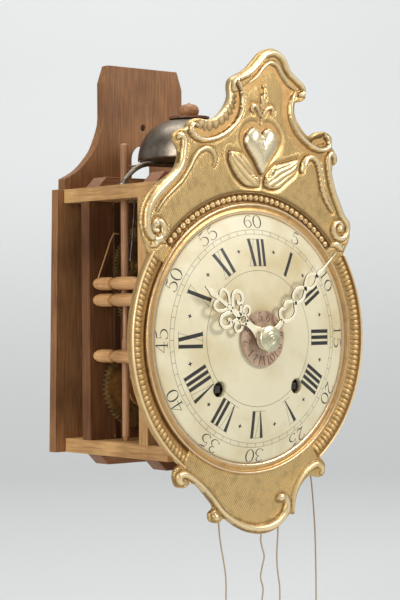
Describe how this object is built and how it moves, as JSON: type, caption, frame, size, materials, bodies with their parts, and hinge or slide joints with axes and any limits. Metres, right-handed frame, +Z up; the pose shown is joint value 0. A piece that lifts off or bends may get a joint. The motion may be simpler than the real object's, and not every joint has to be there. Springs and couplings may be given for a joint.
{
  "type": "shield clock",
  "caption": "Wooden-movement wall clock with a carved and gilt rococo shield, convex dial, bell on top, striking and alarm work, and hanging cords.",
  "frame": {"origin": "centre of the nail hole at the rear face of the rear board", "axes": "+X to the right as seen from the front, +Y to the back along the nail hole, +Z up"},
  "size_m": [0.2246, 0.1601, 0.4424],
  "materials": {
    "gilt_wood": "worn gilding",
    "pale_wood": "satin",
    "dark_wood": "stained",
    "brass": "aged",
    "hand_gilt": "gilt",
    "steel": "aged",
    "bell_iron": "dark patina",
    "dial_cream": "satin",
    "disc_pink": "satin",
    "cord_linen": "matt"
  },
  "bodies": {
    "case": {"back_board": "dark_wood", "top_plate": "pale_wood", "bottom_plate": "pale_wood", "battens": "dark_wood", "front_uprights": "pale_wood", "rear_uprights": "dark_wood", "front_train_bars": "pale_wood", "rear_train_bars": "dark_wood", "centre_rail": "pale_wood", "pivot_bushes": "brass", "motion_studs": "steel", "shield_board": "gilt_wood", "dial_moulding": "gilt_wood", "gadroon_bands": "gilt_wood", "crest_carving": "gilt_wood", "side_scrolls": "gilt_wood", "heart_ornament": "gilt_wood", "bead_row": "gilt_wood", "apron_carving": "gilt_wood", "dial": "dial_cream", "shield_pins": "steel", "bell_stand": "bell_iron", "bell": "bell_iron", "bell_washer": "dark_wood", "bell_knob": "pale_wood", "hammer_spring": "steel", "going_cord": "cord_linen", "alarm_cord": "cord_linen", "alarm_hooks": "steel"},
    "going_great": {"going_great_wheel": "brass", "going_click": "steel"},
    "going_barrel": {"going_drum": "pale_wood", "going_winding_arbor": "steel", "going_cord_turns": "cord_linen"},
    "going_second": {"going_second_wheel": "brass"},
    "going_third": {"going_third_wheel": "brass"},
    "escape": {"escape_wheel": "brass"},
    "anchor_body": {"anchor": "steel", "crutch": "steel"},
    "strike_great": {"strike_great_wheel": "brass", "strike_click": "steel"},
    "strike_barrel": {"strike_drum": "pale_wood", "strike_winding_arbor": "steel"},
    "strike_second": {"pin_wheel": "brass"},
    "strike_third": {"hoop_wheel": "brass"},
    "warning_train": {"warning_wheel": "brass"},
    "fly_body": {"fly": "brass"},
    "minute": {"minute_pipe": "brass", "minute_hand": "hand_gilt", "hand_knob": "brass"},
    "change": {"change_wheel": "brass"},
    "hour": {"hour_pipe": "brass", "hour_hand": "hand_gilt"},
    "alarm_setting": {"alarm_disc": "disc_pink"},
    "lifting": {"lifting_lever": "pale_wood"},
    "warning": {"warning_lever": "pale_wood"},
    "locking": {"locking_lever": "pale_wood"},
    "strike_hammer": {"hammer_arbor": "pale_wood"},
    "alarm_wheel": {"alarm_pulley": "pale_wood"},
    "alarm_striker": {"alarm_hammer": "steel"}
  },
  "joints": [
    {"name": "going_third_turn", "type": "hinge", "parent": "case", "child": "going_third", "pos_m": [0.0375, -0.071, -0.13748], "axis": [0, 1, 0], "continuous": true},
    {"name": "going_second_turn", "type": "hinge", "parent": "case", "child": "going_second", "pos_m": [0.0375, -0.071, -0.16628], "axis": [0, 1, 0], "continuous": true},
    {"name": "going_great_turn", "type": "hinge", "parent": "case", "child": "going_great", "pos_m": [0.0375, -0.071, -0.201], "axis": [0, 1, 0], "continuous": true},
    {"name": "escape_turn", "type": "hinge", "parent": "case", "child": "escape", "pos_m": [0.0375, -0.071, -0.11028], "axis": [0, 1, 0], "continuous": true},
    {"name": "going_winding", "type": "hinge", "parent": "going_great", "child": "going_barrel", "pos_m": [0.0375, -0.071, -0.201], "axis": [0, 1, 0], "continuous": true},
    {"name": "minute_turn", "type": "hinge", "parent": "case", "child": "minute", "pos_m": [0, -0.141, -0.165], "axis": [0, 1, 0], "continuous": true},
    {"name": "change_turn", "type": "hinge", "parent": "case", "child": "change", "pos_m": [-0.026, -0.121, -0.15], "axis": [0, 1, 0], "continuous": true},
    {"name": "hour_turn", "type": "hinge", "parent": "case", "child": "hour", "pos_m": [0, -0.136, -0.165], "axis": [0, 1, 0], "continuous": true},
    {"name": "alarm_set", "type": "hinge", "parent": "hour", "child": "alarm_setting", "pos_m": [0, -0.147, -0.165], "axis": [0, 1, 0], "continuous": true},
    {"name": "anchor_swing", "type": "hinge", "parent": "case", "child": "anchor_body", "pos_m": [0.0375, -0.071, -0.08528], "axis": [0, 1, 0], "range_deg": [-2, 2]},
    {"name": "warning_turn", "type": "hinge", "parent": "case", "child": "warning_train", "pos_m": [-0.0375, -0.071, -0.11028], "axis": [0, 1, 0], "continuous": true},
    {"name": "strike_third_turn", "type": "hinge", "parent": "case", "child": "strike_third", "pos_m": [-0.0375, -0.071, -0.13748], "axis": [0, 1, 0], "continuous": true},
    {"name": "strike_second_turn", "type": "hinge", "parent": "case", "child": "strike_second", "pos_m": [-0.0375, -0.071, -0.16628], "axis": [0, 1, 0], "continuous": true},
    {"name": "strike_great_turn", "type": "hinge", "parent": "case", "child": "strike_great", "pos_m": [-0.0375, -0.071, -0.201], "axis": [0, 1, 0], "continuous": true},
    {"name": "fly_turn", "type": "hinge", "parent": "case", "child": "fly_body", "pos_m": [-0.0375, -0.071, -0.08468], "axis": [0, 1, 0], "continuous": true},
    {"name": "strike_winding", "type": "hinge", "parent": "strike_great", "child": "strike_barrel", "pos_m": [-0.0375, -0.071, -0.201], "axis": [0, 1, 0], "continuous": true},
    {"name": "lifting_swing", "type": "hinge", "parent": "case", "child": "lifting", "pos_m": [-0.0725, -0.071, -0.1238], "axis": [0, 1, 0], "range_deg": [-5, 5]},
    {"name": "warning_swing", "type": "hinge", "parent": "case", "child": "warning", "pos_m": [-0.0725, -0.071, -0.136], "axis": [0, 1, 0], "range_deg": [-5, 5]},
    {"name": "locking_swing", "type": "hinge", "parent": "case", "child": "locking", "pos_m": [-0.0725, -0.071, -0.1776], "axis": [0, 1, 0], "range_deg": [-5, 5]},
    {"name": "hammer_swing", "type": "hinge", "parent": "case", "child": "strike_hammer", "pos_m": [-0.06, -0.0615, -0.125], "axis": [0, 0, 1], "range_deg": [-12, 0], "stiffness_Nm_per_rad": 0.03, "springref_deg": 5.73},
    {"name": "alarm_turn", "type": "hinge", "parent": "case", "child": "alarm_wheel", "pos_m": [0.0575, -0.1175, -0.12], "axis": [0, 1, 0], "continuous": true},
    {"name": "alarm_hammer_swing", "type": "hinge", "parent": "case", "child": "alarm_striker", "pos_m": [0.059, -0.0815, -0.125], "axis": [0, 0, 1], "range_deg": [-4, 4]}
  ],
  "couplings": [
    {"joint": "going_second_turn", "follows": "going_third_turn", "ratio": -0.125},
    {"joint": "going_great_turn", "follows": "going_third_turn", "ratio": 0.018519},
    {"joint": "escape_turn", "follows": "going_third_turn", "ratio": -7.5},
    {"joint": "minute_turn", "follows": "going_third_turn", "ratio": 0.125},
    {"joint": "change_turn", "follows": "going_third_turn", "ratio": -0.03125},
    {"joint": "hour_turn", "follows": "going_third_turn", "ratio": 0.010417},
    {"joint": "strike_third_turn", "follows": "warning_turn", "ratio": -0.13333},
    {"joint": "strike_second_turn", "follows": "warning_turn", "ratio": 0.016667},
    {"joint": "strike_great_turn", "follows": "warning_turn", "ratio": -0.0024691},
    {"joint": "fly_turn", "follows": "warning_turn", "ratio": -7}
  ]
}
